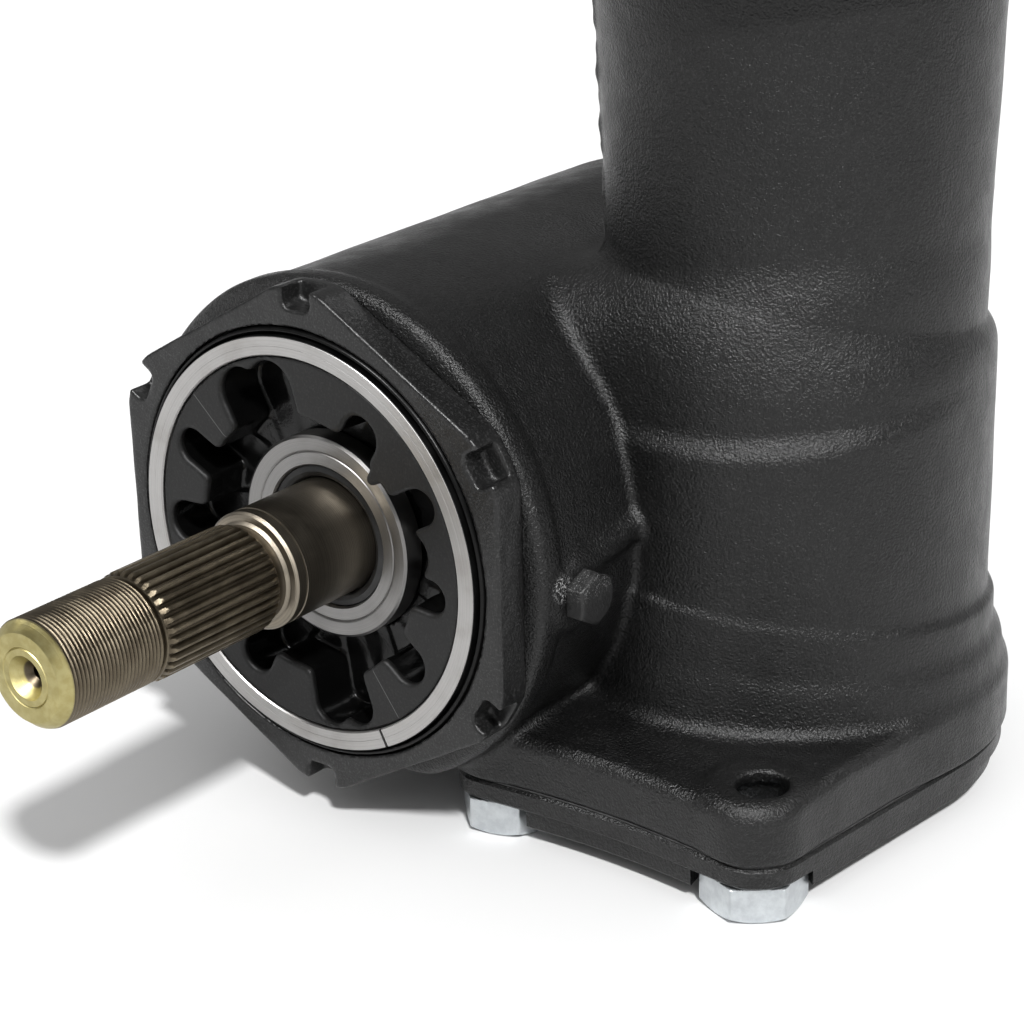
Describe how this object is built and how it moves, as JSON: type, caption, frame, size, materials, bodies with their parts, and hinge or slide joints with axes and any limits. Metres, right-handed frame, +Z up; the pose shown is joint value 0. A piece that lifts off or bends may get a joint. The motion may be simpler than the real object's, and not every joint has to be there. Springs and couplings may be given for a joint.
{
  "type": "right angle bevel gearbox",
  "caption": "Cast right angle gearbox on a flanged base, with a splined and threaded output shaft standing out of a round boss beside an upright input column.",
  "frame": {"origin": "on the upright input axis, at the underside of the bottom cover's raised pad", "axes": "+Z up along the input axis; the splined output shaft points along -Y, 100 mm to the -X side of the input axis and 95 mm above the origin"},
  "size_m": [0.2665, 0.3527, 0.3653],
  "materials": {
    "black_paint": "satin black paint over rough cast iron",
    "machined_steel": "turned, bare",
    "oiled_steel": "ground and oiled, brownish",
    "gear_steel": "hardened and ground",
    "bearing_steel": "polished",
    "zinc": "bright zinc plating",
    "black_rubber": "matt",
    "gasket": "matt"
  },
  "bodies": {
    "gearbox_case": {"housing": "black_paint", "bottom_cover": "black_paint", "hex_adjuster_ring": "black_paint", "bearing_carrier": "black_paint", "output_rear_cover": "black_paint", "middle_end_cap": "black_paint", "input_cover": "black_paint", "level_plug": "black_paint", "pilot_ring": "machined_steel", "output_seal_case": "machined_steel", "output_front_cup": "bearing_steel", "output_rear_cup": "bearing_steel", "middle_front_cup": "bearing_steel", "middle_rear_cup": "bearing_steel", "input_lower_cup": "bearing_steel", "input_upper_cup": "bearing_steel", "base_bolt_1": "zinc", "base_bolt_2": "zinc", "base_bolt_3": "zinc", "base_bolt_4": "zinc", "output_cover_screw_1": "zinc", "output_cover_screw_2": "zinc", "output_cover_screw_3": "zinc", "output_cover_screw_4": "zinc", "input_cover_screw_1": "zinc", "input_cover_screw_2": "zinc", "input_cover_screw_3": "zinc", "input_cover_screw_4": "zinc", "drain_plug": "zinc", "pilot_o_ring": "black_rubber", "output_seal_lip": "black_rubber", "input_seal": "black_rubber", "bottom_gasket": "gasket"},
    "output_line": {"output_shaft": "oiled_steel", "output_gear": "gear_steel", "output_gear_key": "gear_steel", "output_spacer": "gear_steel", "output_lock_nut": "gear_steel", "output_front_cone": "bearing_steel", "output_rear_cone": "bearing_steel"},
    "middle_line": {"middle_shaft": "gear_steel", "spur_pinion": "gear_steel", "bevel_wheel": "gear_steel", "middle_front_cone": "bearing_steel", "middle_rear_cone": "bearing_steel"},
    "input_line": {"input_pinion_shaft": "oiled_steel", "input_lock_nut": "gear_steel", "input_key": "gear_steel", "input_lower_cone": "bearing_steel", "input_upper_cone": "bearing_steel"},
    "output_front_roller_cage": {"output_front_roller_cage": "bearing_steel"},
    "output_rear_roller_cage": {"output_rear_roller_cage": "bearing_steel"},
    "middle_front_roller_cage": {"middle_front_roller_cage": "bearing_steel"},
    "middle_rear_roller_cage": {"middle_rear_roller_cage": "bearing_steel"},
    "input_lower_roller_cage": {"input_lower_roller_cage": "bearing_steel"},
    "input_upper_roller_cage": {"input_upper_roller_cage": "bearing_steel"}
  },
  "joints": [
    {"name": "output_spin", "type": "hinge", "parent": "gearbox_case", "child": "output_line", "pos_m": [-0.1, 0, 0.095], "axis": [0, 1, 0], "continuous": true},
    {"name": "middle_spin", "type": "hinge", "parent": "gearbox_case", "child": "middle_line", "pos_m": [0, 0, 0.095], "axis": [0, 1, 0], "continuous": true},
    {"name": "input_spin", "type": "hinge", "parent": "gearbox_case", "child": "input_line", "pos_m": [0, 0, 0.1], "axis": [0, 0, 1], "continuous": true},
    {"name": "output_front_cage_spin", "type": "hinge", "parent": "gearbox_case", "child": "output_front_roller_cage", "pos_m": [-0.1, 0, 0.095], "axis": [0, 1, 0], "continuous": true},
    {"name": "output_rear_cage_spin", "type": "hinge", "parent": "gearbox_case", "child": "output_rear_roller_cage", "pos_m": [-0.1, 0, 0.095], "axis": [0, 1, 0], "continuous": true},
    {"name": "middle_front_cage_spin", "type": "hinge", "parent": "gearbox_case", "child": "middle_front_roller_cage", "pos_m": [0, 0, 0.095], "axis": [0, 1, 0], "continuous": true},
    {"name": "middle_rear_cage_spin", "type": "hinge", "parent": "gearbox_case", "child": "middle_rear_roller_cage", "pos_m": [0, 0, 0.095], "axis": [0, 1, 0], "continuous": true},
    {"name": "input_lower_cage_spin", "type": "hinge", "parent": "gearbox_case", "child": "input_lower_roller_cage", "pos_m": [0, 0, 0.1], "axis": [0, 0, 1], "continuous": true},
    {"name": "input_upper_cage_spin", "type": "hinge", "parent": "gearbox_case", "child": "input_upper_roller_cage", "pos_m": [0, 0, 0.1], "axis": [0, 0, 1], "continuous": true}
  ],
  "couplings": [
    {"joint": "middle_spin", "follows": "output_spin", "ratio": -1.6316},
    {"joint": "input_spin", "follows": "output_spin", "ratio": -3.2632},
    {"joint": "output_front_cage_spin", "follows": "output_spin", "ratio": 0.44545},
    {"joint": "output_rear_cage_spin", "follows": "output_spin", "ratio": 0.44545},
    {"joint": "middle_front_cage_spin", "follows": "output_spin", "ratio": -0.68889},
    {"joint": "middle_rear_cage_spin", "follows": "output_spin", "ratio": -0.68889},
    {"joint": "input_lower_cage_spin", "follows": "output_spin", "ratio": -1.4536},
    {"joint": "input_upper_cage_spin", "follows": "output_spin", "ratio": -1.4536}
  ]
}
